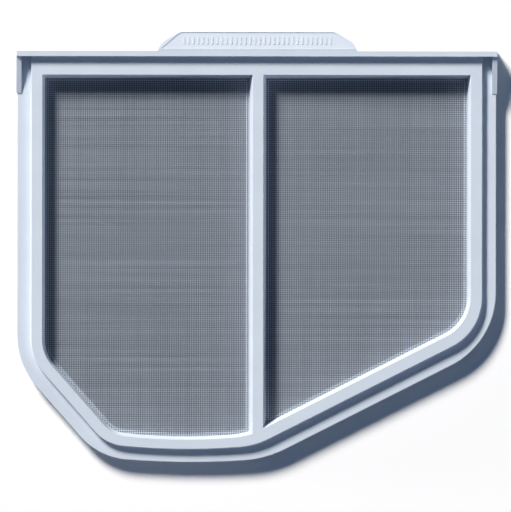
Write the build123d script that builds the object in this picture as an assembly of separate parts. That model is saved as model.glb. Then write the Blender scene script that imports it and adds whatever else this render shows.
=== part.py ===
from build123d import *
from math import atan2, degrees, radians, tan
import os

# Tumble dryer lint filter: one moulded frame with a pull tab, and two woven mesh panels.
# Millimetres. It lies on its back, seen from the front: +X to the right, +Y to the tab, +Z to the front.
# While it is built, Y = 0 is the underside of the top flange.

# Raised frame, along its outer edge
RAISED_WIDTH = 285.8
LEFT_SIDE = 191.5
RIGHT_SIDE = 174.1
BOTTOM_LEFT_HEIGHT = 245.7
BOTTOM_RIGHT_HEIGHT = 246.6
BOTTOM_START = 47.7
BOTTOM_LENGTH = 94.6
BOTTOM_BOW = 2.7
LEFT_CORNER = 32.0
BOTTOM_LEFT_CORNER = 26.0
BOTTOM_RIGHT_CORNER = 50.0
RIGHT_CORNER = 34.8

# Widths of the raised face
FACE_LEFT = 7.0
FACE_RIGHT = 7.3
FACE_LEFT_SLOPE = 6.8
FACE_BOTTOM = 6.1
FACE_RIGHT_SLOPE = 7.5
FACE_TOP = 11.7
BAR_WIDTH = 6.9
MIDDLE_X = 0.8

# Flat rim outside the raised frame
RIM_SIDE = 9.0
RIM_LEFT_SLOPE = 9.1
RIM_BOTTOM = 8.3
RIM_RIGHT_SLOPE = 10.6
RIM_ROUNDING = 17.0
RIM_WALL = 2.0

# Section of the moulding
FRAME_DEPTH = 12.0
RIM_DROP = 4.0
WALL = 1.8
WALL_DRAFT = 10.8
OUTER_DRAFT = 5.0
LEDGE_WALL = 1.4
LEDGE_WIDTH = 1.9
RIB_WALL = 1.4
RIB_PITCH = 42.0
RIB_BACK = 2.2
FACE_ROUND = 0.25
WINDOW_BEVEL = 0.15
BEVEL_ANGLE = 45.0
RIM_ROUND = 0.35

# Top flange and its end gussets
FLANGE_OVERHANG = 0.6
FLANGE_WALL = 3.7
FLANGE_RISE = 3.9
FLANGE_ROUND = 0.25
GUSSET_WALL = 3.2
GUSSET_LENGTH = 23.4
GUSSET_SETBACK = 1.5
GUSSET_TIP = 0.5

# Pull tab, and the sunk panel with grip ribs on its front
TAB_X = 0.3
TAB_BASE = 127.0
TAB_SHOULDER = 122.0
TAB_TOP = 98.6
TAB_HEIGHT = 12.15
TAB_SHOULDER_HEIGHT = 5.2
TAB_FOOT = 1.3
TAB_WALL = 3.0
TAB_LEAN = 8.5
TAB_ROUND = 7.0
PANEL_DEPTH = 0.3
PANEL_FOOT_MARGIN = 2.5
PANEL_SIDE_MARGIN = 0.15
PANEL_TOP_MARGIN = 0.6
GRIP_WIDTH = 1.0
GRIP_LENGTH = 4.5
GRIP_PITCH = 3.0
GRIP_RISE = 0.25

# Woven mesh, with its weave enlarged to ridges and gaps
MESH_WALL = 0.3
MESH_RIDGE = 0.26
MESH_SEAT = 0.8
MESH_CLEARANCE = 0.1
RIDGE_PITCH = 10.8
RIDGE_WIDTH = 1.6
GAP_WIDTH = 7.4

RIM_TOP = FRAME_DEPTH - RIM_DROP
RIM_BACK = RIM_TOP - RIM_WALL
FLANGE_FRONT = FRAME_DEPTH + FLANGE_RISE
FLANGE_LENGTH = RAISED_WIDTH + 2 * (RIM_SIDE + FLANGE_OVERHANG)
MESH_DEPTH = MESH_WALL + 2 * MESH_RIDGE
DRAFT_INSET = (FRAME_DEPTH - LEDGE_WALL) * tan(radians(WALL_DRAFT))
FAR = 2 * (FLANGE_LENGTH + BOTTOM_RIGHT_HEIGHT)

# Sides of the frame in order: left, left slope, bottom, right slope, right, top
FACE_WIDTHS = (FACE_LEFT, FACE_LEFT_SLOPE, FACE_BOTTOM, FACE_RIGHT_SLOPE, FACE_RIGHT, FACE_TOP)
RIM_WIDTHS = (RIM_SIDE, RIM_LEFT_SLOPE, RIM_BOTTOM, RIM_RIGHT_SLOPE, RIM_SIDE, 0)
CORNER_RADII = (LEFT_CORNER, BOTTOM_LEFT_CORNER, BOTTOM_RIGHT_CORNER, RIGHT_CORNER)

HALF = RAISED_WIDTH / 2
CORNERS = (
    Vector(-HALF, 0),
    Vector(-HALF, -LEFT_SIDE),
    Vector(-HALF + BOTTOM_START, -BOTTOM_LEFT_HEIGHT),
    Vector(-HALF + BOTTOM_START + BOTTOM_LENGTH, -BOTTOM_RIGHT_HEIGHT),
    Vector(HALF, -RIGHT_SIDE),
    Vector(HALF, 0),
)


def inset_corners(insets):
    """Corners of the raised outline after each of its sides has moved in by its own distance."""
    count = len(CORNERS)
    sides = []
    for i, inset in enumerate(insets):
        along = (CORNERS[(i + 1) % count] - CORNERS[i]).normalized()
        inward = Vector(-along.Y, along.X)
        sides.append((CORNERS[i] + inward * inset, along))
    moved = []
    for i in range(count):
        (p, d), (q, e) = sides[i - 1], sides[i]
        reach = ((q - p).X * e.Y - (q - p).Y * e.X) / (d.X * e.Y - d.Y * e.X)
        moved.append(p + d * reach)
    return moved


def outline(insets, rounding):
    """Face inside the inset outline, with a bowed bottom and four rounded lower corners."""
    top_left, left, bottom_left, bottom_right, right, top_right = inset_corners(insets)
    bow = (bottom_left + bottom_right) / 2 - Vector(0, BOTTOM_BOW)
    edges = Polyline(bottom_right, right, top_right, top_left, left, bottom_left)
    face = make_face(edges + ThreePointArc(bottom_left, bow, bottom_right)).face()
    for corner, radius in zip((left, bottom_left, bottom_right, right), CORNER_RADII):
        vertex = face.vertices().sort_by_distance(corner)[0]
        face = face.fillet_2d(radius + rounding, [vertex])
    return face


def window(side, grow):
    """Window in the raised face, left (-1) or right (+1) of the bar, its edges moved out by grow."""
    opening = outline([width - grow for width in FACE_WIDTHS], grow - FACE_LEFT)
    bar_edge = MIDDLE_X + side * (BAR_WIDTH / 2 - grow)
    half_plane = Pos(bar_edge + side * FAR / 2, 0) * Rectangle(FAR, FAR)
    return (opening & half_plane).face()


def prism(face, low, high):
    """Straight solid over a flat face, between two heights."""
    return extrude(Pos(0, 0, low) * face, high - low)


def drafted(face, top, bottom, draft):
    """Solid under a flat face at the top height, narrowing downwards by the draft angle."""
    return extrude(Pos(0, 0, top) * face, top - bottom, dir=(0, 0, -1), taper=draft)


def profile_along_x(points, low, high):
    """Solid with a section given as (Y, Z) points, from X = low to X = high."""
    section = make_face(Polyline(*points, close=True))
    return extrude(Plane.YZ.offset(low) * section, high - low)


def trapezoid(base, top, low, high):
    """Flat face about the tab's middle, from one height above the flange to another."""
    corners = ((-base / 2, low), (base / 2, low), (top / 2, high), (-top / 2, high))
    return Pos(TAB_X, FLANGE_WALL) * make_face(Polyline(*corners, close=True)).face()


def rounded_top(solid, height, radius):
    """Solid with its top edges rounded, apart from the one that meets the flange."""
    edges = solid.edges().filter_by_position(Axis.Z, height, height)
    return fillet(edges.filter_by(lambda edge: edge.center().Y < -radius), radius)


def channel_ribs(start, end, width):
    """Cross ribs over the hollow behind one side of the raised face, evenly spaced along it."""
    run = end - start
    count = max(1, round(run.length / RIB_PITCH))
    angle = degrees(atan2(run.Y, run.X))
    reach = width + DRAFT_INSET - WALL / 2 + BOTTOM_BOW
    height = FRAME_DEPTH - WALL - RIB_BACK
    ribs = []
    for i in range(count):
        spot = start + run * ((i + 0.5) / count)
        block = Pos(0, reach / 2 - BOTTOM_BOW, RIB_BACK + height / 2) * Box(RIB_WALL, reach, height)
        ribs.append(Pos(spot.X, spot.Y) * Rot(0, 0, angle) * block)
    return ribs


def raised_frame():
    """Hollow hat section round both windows, with the bar, the rim, cross ribs and mesh ledges."""
    raised = outline((0,) * len(CORNERS), 0)
    core = outline((WALL, WALL, WALL, WALL, WALL, 0), -WALL)
    rim = outline([-width for width in RIM_WIDTHS], RIM_ROUNDING)
    frame = rounded_top(drafted(raised, FRAME_DEPTH, RIM_BACK, -OUTER_DRAFT), FRAME_DEPTH, FACE_ROUND)
    frame += rounded_top(prism(rim, RIM_BACK, RIM_TOP), RIM_TOP, RIM_ROUND)
    frame -= prism(core, RIM_BACK, FRAME_DEPTH - WALL)
    ribs = []
    for i, width in enumerate(FACE_WIDTHS):
        ribs += channel_ribs(CORNERS[i], CORNERS[(i + 1) % len(CORNERS)], width)
    bar_top = Vector(MIDDLE_X - BAR_WIDTH / 2, -FACE_TOP)
    bar_foot = Vector(MIDDLE_X - BAR_WIDTH / 2, FACE_BOTTOM - BOTTOM_RIGHT_HEIGHT)
    ribs += channel_ribs(bar_top, bar_foot, BAR_WIDTH)
    frame += (Part() + ribs) & prism(raised, 0, FRAME_DEPTH)
    for side in (-1, 1):
        frame += drafted(window(side, WALL), FRAME_DEPTH, 0, WALL_DRAFT)
    for side in (-1, 1):
        frame -= drafted(window(side, 0), FRAME_DEPTH, LEDGE_WALL, WALL_DRAFT)
        frame -= prism(window(side, -DRAFT_INSET - LEDGE_WIDTH), 0, LEDGE_WALL)
        frame -= prism(mesh_outline(side, 0), LEDGE_WALL, LEDGE_WALL + MESH_DEPTH + MESH_CLEARANCE)
        frame -= drafted(window(side, WINDOW_BEVEL), FRAME_DEPTH, FRAME_DEPTH - 2 * WINDOW_BEVEL, BEVEL_ANGLE)
    return frame


def mesh_outline(side, clearance):
    """Outline of a mesh panel, whose edge sits in a groove at the foot of the drafted walls."""
    return window(side, MESH_SEAT - DRAFT_INSET - clearance)


def flange():
    """Top flange, with a gusset down to the rim at each end."""
    half = FLANGE_LENGTH / 2
    plate = Pos(0, FLANGE_WALL / 2, FLANGE_FRONT / 2) * Box(FLANGE_LENGTH, FLANGE_WALL, FLANGE_FRONT)
    plate = fillet(plate.edges().filter_by(Axis.X), FLANGE_ROUND)
    root = ((0, RIM_BACK), (0, FLANGE_FRONT - GUSSET_SETBACK))
    tip = ((-GUSSET_LENGTH, RIM_TOP + GUSSET_TIP), (-GUSSET_LENGTH, RIM_BACK))
    plate += profile_along_x(root + tip, -half, GUSSET_WALL - half)
    plate += profile_along_x(root + tip, half - GUSSET_WALL, half)
    return plate


def lean_slab(front, back):
    """Slab over the tab that leans back from the tab's foot, between two offsets from its front."""
    drop = (TAB_HEIGHT - TAB_FOOT) * tan(radians(TAB_LEAN))
    levels = ((0, 0), (TAB_FOOT, 0), (TAB_HEIGHT, -drop))
    face = [(FLANGE_WALL + y, FLANGE_FRONT + z) for y, z in levels]
    points = [(y, z + front) for y, z in face] + [(y, z + back) for y, z in reversed(face)]
    return profile_along_x(points, -FLANGE_LENGTH / 2, FLANGE_LENGTH / 2)


def tab():
    """Pull tab that leans back, with a shallow sunk panel that carries grip ribs."""
    lower = trapezoid(TAB_BASE, TAB_SHOULDER, 0, TAB_SHOULDER_HEIGHT)
    upper = trapezoid(TAB_SHOULDER, TAB_TOP, TAB_SHOULDER_HEIGHT, TAB_HEIGHT)
    shape = (lower + upper).face()
    rounded = shape.vertices().filter_by(lambda v: v.Y > FLANGE_WALL + TAB_SHOULDER_HEIGHT / 2)
    shape = shape.fillet_2d(TAB_ROUND, rounded)
    body = lean_slab(0, -TAB_WALL) & prism(shape, 0, FLANGE_FRONT)
    panel_base = TAB_BASE - 2 * PANEL_FOOT_MARGIN
    panel_top = TAB_TOP - 2 * PANEL_SIDE_MARGIN
    panel = trapezoid(panel_base, panel_top, TAB_FOOT, TAB_HEIGHT - PANEL_TOP_MARGIN)
    top_corners = panel.vertices().sort_by(Axis.Y)[-2:]
    panel = panel.fillet_2d(TAB_ROUND - PANEL_TOP_MARGIN, top_corners)
    body -= lean_slab(-PANEL_DEPTH, FLANGE_FRONT) & prism(panel, 0, FLANGE_FRONT)
    count = int(TAB_TOP // GRIP_PITCH)
    middle = FLANGE_WALL + (TAB_FOOT + TAB_HEIGHT - PANEL_TOP_MARGIN) / 2
    grip = Rectangle(GRIP_WIDTH, GRIP_LENGTH)
    places = [TAB_X + (i - (count - 1) / 2) * GRIP_PITCH for i in range(count)]
    grips = Sketch() + [Pos(x, middle) * grip for x in places]
    ribs = lean_slab(GRIP_RISE - PANEL_DEPTH, -TAB_WALL / 2)
    return body + (ribs & prism(grips, 0, FLANGE_FRONT))


def frame_moulding():
    """The whole moulding."""
    return raised_frame() + flange() + tab()


def mesh_panel(side):
    """One mesh panel: a thin wall with upright ridges in front, level ridges behind, and gaps between."""
    shape = mesh_outline(side, MESH_CLEARANCE)
    box = shape.bounding_box()
    middle = box.center()
    wall_back = LEDGE_WALL + MESH_RIDGE
    wall_front = wall_back + MESH_WALL
    columns = int(box.size.X // RIDGE_PITCH)
    rows = int(box.size.Y // RIDGE_PITCH)
    uprights = [
        Pos(middle.X + (i - columns / 2) * RIDGE_PITCH, middle.Y) * Rectangle(RIDGE_WIDTH, FAR)
        for i in range(columns + 1)
    ]
    levels = [
        Pos(middle.X, middle.Y + (j - rows / 2) * RIDGE_PITCH) * Rectangle(FAR, RIDGE_WIDTH)
        for j in range(rows + 1)
    ]
    panel = prism(shape, wall_back, wall_front)
    panel += prism(Sketch() + uprights & shape, wall_front, wall_front + MESH_RIDGE)
    panel += prism(Sketch() + levels & shape, LEDGE_WALL, wall_back)
    reach = (GAP_WIDTH + RIDGE_WIDTH) / 2
    gaps = []
    for i in range(columns):
        for j in range(i % 2, rows, 2):
            x = middle.X + (i + 0.5 - columns / 2) * RIDGE_PITCH
            y = middle.Y + (j + 0.5 - rows / 2) * RIDGE_PITCH
            ends = [Vector(x + sx * reach, y + sy * reach) for sx in (-1, 1) for sy in (-1, 1)]
            if all(shape.is_inside(end) for end in ends):
                gaps.append(Pos(x, y) * Rectangle(GAP_WIDTH, GAP_WIDTH))
    return panel - prism(Sketch() + gaps, wall_back, wall_front)


frame = frame_moulding()
nodes = {"frame": frame, "mesh_left": mesh_panel(-1), "mesh_right": mesh_panel(1)}

# The origin lies under the middle of the frame's box.
middle = frame.bounding_box().center()
os.makedirs("parts", exist_ok=True)
for name, solid in nodes.items():
    export_step(Pos(-middle.X, -middle.Y) * solid, f"parts/{name}.step")
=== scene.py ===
import math

import bmesh
import bpy
import numpy as np
from mathutils import Euler, Matrix, Vector


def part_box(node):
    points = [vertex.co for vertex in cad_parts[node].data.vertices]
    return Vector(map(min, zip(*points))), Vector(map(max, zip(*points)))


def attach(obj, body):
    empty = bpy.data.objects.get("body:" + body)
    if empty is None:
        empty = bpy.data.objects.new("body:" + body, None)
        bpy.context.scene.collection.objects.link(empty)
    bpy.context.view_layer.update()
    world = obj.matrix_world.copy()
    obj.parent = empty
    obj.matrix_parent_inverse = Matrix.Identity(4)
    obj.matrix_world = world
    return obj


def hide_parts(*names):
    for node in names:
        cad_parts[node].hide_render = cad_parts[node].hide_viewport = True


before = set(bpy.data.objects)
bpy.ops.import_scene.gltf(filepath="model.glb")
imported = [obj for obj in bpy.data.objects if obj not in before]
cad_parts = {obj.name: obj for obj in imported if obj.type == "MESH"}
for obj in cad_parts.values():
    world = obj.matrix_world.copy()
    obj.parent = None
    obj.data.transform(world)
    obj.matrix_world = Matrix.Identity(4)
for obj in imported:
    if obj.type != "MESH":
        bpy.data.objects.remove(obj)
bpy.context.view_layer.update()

# Plain colours
WHITE = (1.0, 1.0, 1.0)
BLACK = (0.0, 0.0, 0.0)

# Picture frame of the photograph, and where the object's middle stands in it
PICTURE_WIDTH = 511
PICTURE_HEIGHT = 512
MIDDLE_PX = (256.65, 246.9)
METRES_PER_PX = 0.000634

# Camera: a long lens that looks almost straight down, from slightly to the left, turned a little
LENS_MM = 1500.0
SENSOR_MM = 36.0
TILT = math.radians(-1.2)
ROLL = math.radians(0.07)
FACE_HEIGHT = 0.012
FARTHEST_SEEN = 100.0

# Lamps: direction, angles across and along in degrees, level on a surface that faces them, colour
LAMP_DISTANCE = 20.0
LAMPS = {
    "key": ((-0.93, 1.36, 1.0), (12, 18), 1.87, (1.0, 0.968, 0.92)),
    "left_fill": ((-1.0, 0.1, 0.063), (4, 8), 0.30, (1.0, 1.0, 1.0)),
    "right_fill": ((1.0, -0.62, 0.095), (5, 14), 0.33, (0.87, 0.93, 1.0)),
}
SKY_COLOUR = (0.012, 0.039, 0.094)

# Floor, just below the object's back
FLOOR_SIZE = 60.0
FLOOR_DROP = 0.0001
FLOOR_COLOUR = (0.985, 0.985, 0.985)
FLOOR_ROUGHNESS = 0.9
FLOOR_SPECULAR = 0.1
FLOOR_GLOW = 0.012

# Noise: the part of it that is spread over a whole range, and its finer octaves
NOISE_LOW = 0.3
NOISE_HIGH = 0.7
FINE_DETAIL = 2

# Moulded plastic: linear colour, with noise scales in cells a metre
PLASTIC_COLOUR = (0.59, 0.653, 0.741)
PLASTIC_SPECULAR = 0.4
MOTTLE_SCALE = 55
MOTTLE_DETAIL = 3
MOTTLE = (0.975, 1.02)
PLASTIC_ROUGHNESS_SCALE = 160
PLASTIC_ROUGHNESS = (0.44, 0.58)
GRAIN_SCALE = 2600
GRAIN_DEPTH = 0.00002
GRAIN_STRENGTH = 0.35

# Weave of the mesh panels: pitch of the threads spaced along X and along Y, their section, how far the
# weave lies below the middle of the CAD panel, the fewest points of a thread, and decimals of the outline
PITCHES = (0.00141, 0.00138)
THREAD_WIDTH = 0.001
THREAD_HEIGHT = 0.00006
THREAD_SIDES = 3
WEAVE_SINK = 0.000434
FEWEST_POINTS = 4
OUTLINE_DIGITS = 7

# Thread: linear colour, and the strength of its streaks spaced along X and along Y
THREAD_COLOUR = (0.199, 0.2275, 0.269)
THREAD_SPECULAR = 0.2
THREAD_ROUGHNESS_SCALE = 700
THREAD_ROUGHNESS = (0.36, 0.55)
STREAKS = (0.09, 0.15)
STREAKS_ACROSS = 560.0
STREAKS_ALONG = 5.0

# Painted shade on the threads: darker lines along the middle of each, deepest where threads cross, and wider
# darker rows; the axis that they are spaced along, pitch and depth
ROW_PITCH = 0.00626
LINES = ((0, PITCHES[0], 0.32), (1, PITCHES[1], 0.265), (1, ROW_PITCH, 0.061))


def material(name, specular):
    """New node material, with its node tree and shader."""
    made = bpy.data.materials.new(name)
    made.use_nodes = True
    tree = made.node_tree
    shader = tree.nodes["Principled BSDF"]
    shader.inputs["Specular IOR Level"].default_value = specular
    return made, tree, shader


def own_place(tree):
    """Coordinates of the object itself, in metres."""
    return tree.nodes.new("ShaderNodeTexCoord").outputs["Object"]


def noise(tree, place, scale, detail):
    """Noise over coordinates, at so many cells a unit."""
    node = tree.nodes.new("ShaderNodeTexNoise")
    node.inputs["Scale"].default_value = scale
    node.inputs["Detail"].default_value = detail
    tree.links.new(place, node.inputs["Vector"])
    return node.outputs["Fac"]


def spread(tree, value, low, high):
    """A noise value mapped to a range."""
    node = tree.nodes.new("ShaderNodeMapRange")
    node.inputs["From Min"].default_value = NOISE_LOW
    node.inputs["From Max"].default_value = NOISE_HIGH
    node.inputs["To Min"].default_value = low
    node.inputs["To Max"].default_value = high
    tree.links.new(value, node.inputs["Value"])
    return node.outputs["Result"]


def tint(tree, factor, low, high):
    """A colour between two, by a factor."""
    node = tree.nodes.new("ShaderNodeMix")
    node.data_type = "RGBA"
    node.inputs["A"].default_value = (*low, 1)
    node.inputs["B"].default_value = (*high, 1)
    tree.links.new(factor, node.inputs["Factor"])
    return node.outputs["Result"]


def maths(tree, operation, *values):
    """Result of a sum on sockets and numbers."""
    node = tree.nodes.new("ShaderNodeMath")
    node.operation = operation
    for socket, value in zip(node.inputs, values):
        if isinstance(value, (int, float)):
            socket.default_value = value
        else:
            tree.links.new(value, socket)
    return node.outputs["Value"]


def bump(tree, height, distance, strength, shader):
    """Relief of a height on a shader."""
    node = tree.nodes.new("ShaderNodeBump")
    node.inputs["Strength"].default_value = strength
    node.inputs["Distance"].default_value = distance
    tree.links.new(height, node.inputs["Height"])
    tree.links.new(node.outputs["Normal"], shader.inputs["Normal"])


def scaled(colour, factor):
    """A colour times a number."""
    return tuple(c * factor for c in colour)


def plastic():
    """Satin white moulded plastic with a faint mottle and a fine mould grain."""
    made, tree, shader = material("moulded_plastic", PLASTIC_SPECULAR)
    place = own_place(tree)
    mottle = spread(tree, noise(tree, place, MOTTLE_SCALE, MOTTLE_DETAIL), 0, 1)
    colour = tint(tree, mottle, *(scaled(PLASTIC_COLOUR, level) for level in MOTTLE))
    tree.links.new(colour, shader.inputs["Base Color"])
    roughness = spread(tree, noise(tree, place, PLASTIC_ROUGHNESS_SCALE, FINE_DETAIL), *PLASTIC_ROUGHNESS)
    tree.links.new(roughness, shader.inputs["Roughness"])
    bump(tree, noise(tree, place, GRAIN_SCALE, FINE_DETAIL), GRAIN_DEPTH, GRAIN_STRENGTH, shader)
    return made


def thread():
    """Grey monofilament with painted shade in darker lines along the middle of each thread, deepest where
    threads cross, darker rows, and streaks both ways.
    """
    made, tree, shader = material("mesh_thread", THREAD_SPECULAR)
    place = own_place(tree)
    parts = tree.nodes.new("ShaderNodeSeparateXYZ")
    tree.links.new(place, parts.inputs["Vector"])
    shade = 1.0
    peak = 1.0
    # Painted shade: darker lines along each thread's middle and where the threads cross, and wider darker
    # rows
    for axis, pitch, depth in LINES:
        turn = maths(tree, "MULTIPLY", parts.outputs[axis], 2 * math.pi / pitch)
        shade = maths(tree, "MULTIPLY_ADD", maths(tree, "COSINE", turn), -depth, shade)
        peak += depth
    for axis, strength in enumerate(STREAKS):
        stretch = tree.nodes.new("ShaderNodeMapping")
        stretch.inputs["Scale"].default_value = np.where(np.arange(3) == axis, STREAKS_ACROSS, STREAKS_ALONG)
        tree.links.new(place, stretch.inputs["Vector"])
        streak = noise(tree, stretch.outputs["Vector"], 1, FINE_DETAIL)
        shade = maths(tree, "MULTIPLY", shade, spread(tree, streak, 1 - strength, 1 + strength))
        peak *= 1 + strength
    colour = tint(tree, maths(tree, "DIVIDE", shade, peak), BLACK, scaled(THREAD_COLOUR, peak))
    tree.links.new(colour, shader.inputs["Base Color"])
    roughness = spread(tree, noise(tree, place, THREAD_ROUGHNESS_SCALE, FINE_DETAIL), *THREAD_ROUGHNESS)
    tree.links.new(roughness, shader.inputs["Roughness"])
    return made


def convex_outline(points):
    """Corners of the convex outline round flat points, anticlockwise."""
    ordered = sorted(set(map(tuple, points)))
    outline = []
    for pass_points in (ordered, ordered[::-1]):
        chain = []
        for p in pass_points:
            while len(chain) > 1:
                (ax, ay), (bx, by) = chain[-2], chain[-1]
                if (bx - ax) * (p[1] - ay) - (by - ay) * (p[0] - ax) > 0:
                    break
                chain.pop()
            chain.append(p)
        outline += chain[:-1]
    return np.array(outline)


def span_at(outline, axis, at):
    """Lowest and highest place of the outline along one axis, where the other axis has a value."""
    ends = np.roll(outline, -1, axis=0)
    near, far = outline[:, 1 - axis], ends[:, 1 - axis]
    hit = (near - at) * (far - at) < 0
    share = (at - near[hit]) / (far[hit] - near[hit])
    places = outline[hit, axis] + share * (ends[hit, axis] - outline[hit, axis])
    return (places.min(), places.max()) if len(places) else (0.0, 0.0)


def panel_outline(node):
    """Outline of a CAD mesh panel, seen from the front."""
    corners = np.array([v.co[:2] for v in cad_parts[node].data.vertices], float)
    return convex_outline(corners.round(OUTLINE_DIGITS))


def thread_section(across):
    """Three-sided section of a thread, with a flat front and a ridge behind."""
    side = THREAD_WIDTH / 2 * np.eye(3)[across]
    up = THREAD_HEIGHT / 3 * np.eye(3)[2]
    return np.array((side + up, -2 * up, up - side))


def thread_path(outline, along, at, crossed, first):
    """Middle line of a thread at a place, which passes over and under the threads that it crosses."""
    start, stop = span_at(outline, along, at)
    crossings = np.flatnonzero((crossed > start) & (crossed < stop))
    path = np.zeros((len(crossings) + 2, 3))
    path[:, along] = [start, *crossed[crossings], stop]
    path[:, 1 - along] = at
    path[1:-1, 2] = THREAD_HEIGHT / 2 * np.where((crossings + first) % 2, 1.0, -1.0)
    return path


def tube_faces(runs):
    """Faces of closed tubes, each given by its first point and its count of rings."""
    faces = []
    sides = range(THREAD_SIDES)
    for first, rings in runs:
        last = first + THREAD_SIDES * (rings - 1)
        for ring in range(first, last, THREAD_SIDES):
            for k in sides:
                near = ring + k
                beside = ring + (k + 1) % THREAD_SIDES
                faces.append((near, beside, beside + THREAD_SIDES, near + THREAD_SIDES))
        faces.append([first + k for k in reversed(sides)])
        faces.append([last + k for k in sides])
    return faces


def outward_normals(mesh):
    """Faces turned outwards."""
    form = bmesh.new()
    form.from_mesh(mesh)
    bmesh.ops.recalc_face_normals(form, faces=form.faces)
    form.to_mesh(mesh)
    form.free()


def woven_mesh(name, outline, low, high):
    """Threads both ways, at whole multiples of their pitch, each ending at the panel's outline."""
    height = (low.z + high.z) / 2 - WEAVE_SINK
    counts = [np.arange(math.ceil(low[k] / pitch), high[k] / pitch) for k, pitch in enumerate(PITCHES)]
    lines = [count * pitch for count, pitch in zip(counts, PITCHES)]
    points = []
    runs = []
    for along in (0, 1):
        across = 1 - along
        ring = thread_section(across)
        for i, at in enumerate(lines[across]):
            path = thread_path(outline, along, at, lines[along], i + along)
            if len(path) < FEWEST_POINTS:
                continue
            runs.append((len(points) * THREAD_SIDES, len(path)))
            path[:, 2] += height
            points.extend(path[:, None, :] + ring)
    mesh = bpy.data.meshes.new(name)
    mesh.from_pydata(np.concatenate(points), [], tube_faces(runs))
    mesh.validate()
    outward_normals(mesh)
    return mesh


def weave(name, node, paint):
    """Woven panel in the place of a CAD mesh panel."""
    low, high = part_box(node)
    outline = panel_outline(node)
    mesh = woven_mesh(name, outline, low, high)
    mesh.materials.append(paint)
    mesh.shade_flat()
    piece = bpy.data.objects.new(name, mesh)
    bpy.context.scene.collection.objects.link(piece)
    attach(piece, "root")
    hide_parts(node)


def seen_directly(tree):
    """1 for a ray from the camera, a mirror or clear glass, else 0."""
    path = tree.nodes.new("ShaderNodeLightPath")
    seen = path.outputs["Is Camera Ray"]
    for name in ("Is Glossy Ray", "Is Transmission Ray"):
        seen = maths(tree, "MAXIMUM", seen, path.outputs[name])
    return seen


def floor():
    """Wide pale floor that shows white to the camera and keeps the object's shadow."""
    made, tree, shader = material("pale_floor", FLOOR_SPECULAR)
    shader.inputs["Base Color"].default_value = (*FLOOR_COLOUR, 1)
    shader.inputs["Roughness"].default_value = FLOOR_ROUGHNESS
    shader.inputs["Emission Color"].default_value = (*WHITE, 1)
    glow = maths(tree, "MULTIPLY", seen_directly(tree), FLOOR_GLOW)
    tree.links.new(glow, shader.inputs["Emission Strength"])
    half = FLOOR_SIZE / 2
    corners = [(-half, -half, 0), (half, -half, 0), (half, half, 0), (-half, half, 0)]
    mesh = bpy.data.meshes.new("floor")
    mesh.from_pydata(corners, [], [(0, 1, 2, 3)])
    mesh.materials.append(made)
    piece = bpy.data.objects.new("floor", mesh)
    piece.location.z = -FLOOR_DROP
    bpy.context.scene.collection.objects.link(piece)


def surround():
    """Faint blue light from all sides, seen by the camera as white."""
    world = bpy.data.worlds.new("surround")
    bpy.context.scene.world = world
    world.use_nodes = True
    tree = world.node_tree
    colour = tint(tree, seen_directly(tree), SKY_COLOUR, WHITE)
    tree.links.new(colour, tree.nodes["Background"].inputs["Color"])


def lamps():
    """Soft oval lamps, far off, each with its long side towards the tab."""
    for name, (direction, angles, level, colour) in LAMPS.items():
        towards = Vector(direction).normalized()
        lamp = bpy.data.lights.new(name, "AREA")
        lamp.shape = "ELLIPSE"
        lamp.size, lamp.size_y = (2 * LAMP_DISTANCE * math.tan(math.radians(angle) / 2) for angle in angles)
        # Power that gives a white surface facing the lamp the stated level
        lamp.energy = level * math.pi ** 2 * LAMP_DISTANCE ** 2
        lamp.color = colour
        piece = bpy.data.objects.new(name, lamp)
        piece.location = towards * LAMP_DISTANCE
        across = Vector((0, 1, 0)).cross(towards).normalized()
        piece.rotation_euler = Matrix((across, towards.cross(across), towards)).transposed().to_euler()
        piece.visible_camera = False
        bpy.context.scene.collection.objects.link(piece)


def camera():
    """Camera in front of the object, with the object where the photograph has it."""
    data = bpy.data.cameras.new("camera")
    data.lens = LENS_MM
    data.sensor_width = SENSOR_MM
    data.clip_end = FARTHEST_SEEN
    piece = bpy.data.objects.new("camera", data)
    longest = max(PICTURE_WIDTH, PICTURE_HEIGHT)
    distance = METRES_PER_PX * longest * LENS_MM / SENSOR_MM
    x = (PICTURE_WIDTH / 2 - MIDDLE_PX[0]) * METRES_PER_PX
    y = (MIDDLE_PX[1] - PICTURE_HEIGHT / 2) * METRES_PER_PX
    piece.rotation_euler = Euler((0, TILT, ROLL))
    axis = piece.rotation_euler.to_matrix() @ Vector((0, 0, 1))
    piece.location = Vector((x, y, FACE_HEIGHT)) + distance * axis
    bpy.context.scene.collection.objects.link(piece)
    bpy.context.scene.camera = piece


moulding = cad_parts["frame"]
moulding.data.materials.clear()
moulding.data.materials.append(plastic())
grey = thread()
weave("mesh_left_weave", "mesh_left", grey)
weave("mesh_right_weave", "mesh_right", grey)

floor()
surround()
lamps()
camera()
bpy.context.scene.view_settings.view_transform = "Standard"
